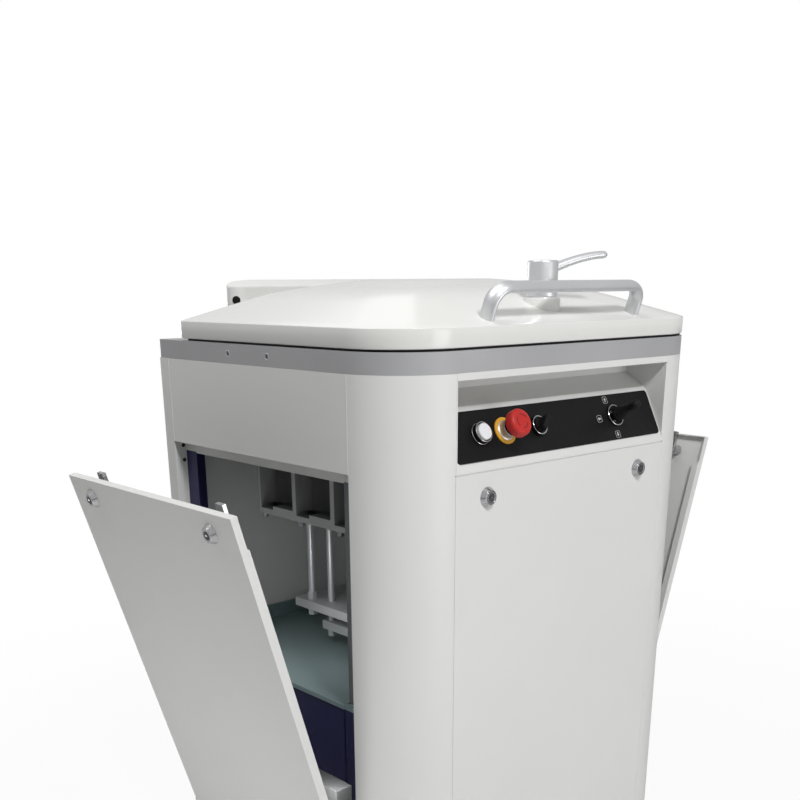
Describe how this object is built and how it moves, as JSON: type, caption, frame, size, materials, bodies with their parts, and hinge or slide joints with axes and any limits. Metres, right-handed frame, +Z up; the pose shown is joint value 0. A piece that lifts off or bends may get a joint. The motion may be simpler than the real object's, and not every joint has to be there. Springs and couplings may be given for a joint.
{
  "type": "dough divider",
  "caption": "Floor-standing hydraulic dough divider: rounded cabinet, hinged lid with latch lever, tilted-out side panels, recessed control console, press and knife drive inside.",
  "frame": {"origin": "on the floor, under the middle of the cabinet's plan", "axes": "+Z up, -Y towards the front with the console, +X to the right when facing the console"},
  "size_m": [1.0905, 0.642, 1.1073],
  "materials": {
    "body_white": "satin paint",
    "lid_white": "gloss paint",
    "navy_paint": "satin paint",
    "tank_paint": "satin paint",
    "motor_paint": "satin paint",
    "shelf_steel": "brushed",
    "console_black": "satin film",
    "ring_aluminium": "bead blasted",
    "cast_aluminium": "as cast",
    "satin_aluminium": "satin",
    "bright_steel": "ground",
    "bezel_metal": "satin chrome",
    "lock_chrome": "polished",
    "black_plastic": "moulded",
    "black_rubber": "moulded",
    "yellow_plastic": "moulded",
    "red_plastic": "moulded",
    "white_plastic": "moulded",
    "plunger_plastic": "machined",
    "wheel_plastic": "moulded"
  },
  "bodies": {
    "cabinet": {"base_frame": "body_white", "frame_columns": "navy_paint", "shelf_carrier": "navy_paint", "shelf_plate": "shelf_steel", "front_corner_left": "body_white", "front_corner_right": "body_white", "rear_cover": "body_white", "upper_side_left": "body_white", "upper_side_right": "body_white", "console_housing": "body_white", "console_plate": "console_black", "top_ring": "ring_aluminium", "pan_casting": "cast_aluminium", "hinge_cover": "body_white", "hinge_blocks": "bright_steel", "hinge_plugs": "black_plastic", "guide_columns": "bright_steel", "column_plate": "bright_steel", "press_cylinder": "bright_steel", "knife_cylinders": "bright_steel", "oil_tank": "tank_paint", "pump_motor": "motor_paint", "pump_block": "cast_aluminium", "control_bezels": "bezel_metal", "estop_collar": "yellow_plastic", "cable_gland": "black_plastic", "levelling_feet": "bright_steel", "wheel_brackets": "bright_steel"},
    "lid": {"lid_shell": "lid_white", "lid_press_plate": "plunger_plastic", "lid_seal": "black_rubber", "lid_handle": "satin_aluminium", "hinge_arms": "bright_steel"},
    "lid_lever": {"lid_lever": "satin_aluminium"},
    "left_panel": {"side_panel_left": "body_white", "lock_heads_left": "lock_chrome"},
    "right_panel": {"side_panel_right": "body_white", "lock_heads_right": "lock_chrome"},
    "front_panel": {"front_panel": "body_white", "lock_heads_front": "lock_chrome"},
    "left_front_lock": {"lock_cam_left_front": "lock_chrome"},
    "left_rear_lock": {"lock_cam_left_rear": "lock_chrome"},
    "right_front_lock": {"lock_cam_right_front": "lock_chrome"},
    "right_rear_lock": {"lock_cam_right_rear": "lock_chrome"},
    "front_left_lock": {"lock_cam_front_left": "lock_chrome"},
    "front_right_lock": {"lock_cam_front_right": "lock_chrome"},
    "push_button": {"push_button": "white_plastic"},
    "estop_button": {"estop_button": "red_plastic"},
    "selector_knob": {"selector_knob": "black_plastic"},
    "joystick_gimbal": {"joystick_gimbal": "bright_steel"},
    "joystick": {"joystick": "black_rubber"},
    "press": {"press_plungers": "plunger_plastic", "press_plate": "bright_steel", "push_rods": "bright_steel", "press_crosshead": "bright_steel", "press_piston": "bright_steel"},
    "knife": {"knife_grid": "bright_steel", "knife_rods": "bright_steel"},
    "rear_wheel_left": {"rear_wheel_left": "wheel_plastic"},
    "rear_wheel_right": {"rear_wheel_right": "wheel_plastic"}
  },
  "joints": [
    {"name": "lid_hinge", "type": "hinge", "parent": "cabinet", "child": "lid", "pos_m": [0, 0.2555, 1.042], "axis": [-1, 0, 0], "range_deg": [0, 60]},
    {"name": "lever_turn", "type": "hinge", "parent": "lid", "child": "lid_lever", "pos_m": [0, -0.2305, 1.0433], "axis": [0, 0, 1], "range_deg": [0, 90]},
    {"name": "left_panel_tilt", "type": "hinge", "parent": "cabinet", "child": "left_panel", "pos_m": [-0.335, 0.039, 0.105], "axis": [0, -1, 0], "range_deg": [-15.9, 0]},
    {"name": "right_panel_tilt", "type": "hinge", "parent": "cabinet", "child": "right_panel", "pos_m": [0.335, 0.039, 0.105], "axis": [0, 1, 0], "range_deg": [-16.7, 0]},
    {"name": "front_panel_tilt", "type": "hinge", "parent": "cabinet", "child": "front_panel", "pos_m": [0, -0.285, 0.105], "axis": [1, 0, 0], "range_deg": [0, 22]},
    {"name": "left_front_lock_turn", "type": "hinge", "parent": "left_panel", "child": "left_front_lock", "pos_m": [-0.52047, -0.1285, 0.7561], "axis": [0.9617, 0, 0.274], "range_deg": [0, 90]},
    {"name": "left_rear_lock_turn", "type": "hinge", "parent": "left_panel", "child": "left_rear_lock", "pos_m": [-0.52047, 0.2065, 0.7561], "axis": [-0.9617, 0, -0.274], "range_deg": [0, 90]},
    {"name": "right_front_lock_turn", "type": "hinge", "parent": "right_panel", "child": "right_front_lock", "pos_m": [0.52954, -0.1285, 0.75345], "axis": [0.9578, 0, -0.2874], "range_deg": [0, 90]},
    {"name": "right_rear_lock_turn", "type": "hinge", "parent": "right_panel", "child": "right_rear_lock", "pos_m": [0.52954, 0.2065, 0.75345], "axis": [-0.9578, 0, 0.2874], "range_deg": [0, 90]},
    {"name": "front_left_lock_turn", "type": "hinge", "parent": "front_panel", "child": "front_left_lock", "pos_m": [-0.176, -0.285, 0.778], "axis": [0, 1, 0], "range_deg": [0, 90]},
    {"name": "front_right_lock_turn", "type": "hinge", "parent": "front_panel", "child": "front_right_lock", "pos_m": [0.176, -0.285, 0.778], "axis": [0, -1, 0], "range_deg": [0, 90]},
    {"name": "push_button_press", "type": "slide", "parent": "cabinet", "child": "push_button", "axis": [0, 0.8897, -0.4566], "range_m": [0, 0.004], "stiffness_N_per_m": 500, "springref_m": -0.002},
    {"name": "estop_press", "type": "slide", "parent": "cabinet", "child": "estop_button", "axis": [0, 0.8897, -0.4566], "range_m": [0, 0.005], "stiffness_N_per_m": 600, "springref_m": -0.003},
    {"name": "selector_turn", "type": "hinge", "parent": "cabinet", "child": "selector_knob", "pos_m": [-0.0525, -0.27638, 0.86372], "axis": [0, -0.8897, 0.4566], "range_deg": [-45, 45]},
    {"name": "gimbal_tilt", "type": "hinge", "parent": "cabinet", "child": "joystick_gimbal", "pos_m": [0.132, -0.27104, 0.86099], "axis": [1, 0, 0], "range_deg": [-12, 12], "stiffness_Nm_per_rad": 0.5},
    {"name": "joystick_tilt", "type": "hinge", "parent": "joystick_gimbal", "child": "joystick", "pos_m": [0.132, -0.27104, 0.86099], "axis": [0, 0.4566, 0.8897], "range_deg": [-12, 12], "stiffness_Nm_per_rad": 0.5},
    {"name": "press_slide", "type": "slide", "parent": "cabinet", "child": "press", "axis": [0, 0, 1], "range_m": [0, 0.092]},
    {"name": "knife_slide", "type": "slide", "parent": "cabinet", "child": "knife", "axis": [0, 0, 1], "range_m": [0, 0.094]},
    {"name": "left_wheel_spin", "type": "hinge", "parent": "cabinet", "child": "rear_wheel_left", "pos_m": [-0.28, 0.231, 0.026], "axis": [1, 0, 0], "continuous": true},
    {"name": "right_wheel_spin", "type": "hinge", "parent": "cabinet", "child": "rear_wheel_right", "pos_m": [0.28, 0.231, 0.026], "axis": [1, 0, 0], "continuous": true}
  ]
}
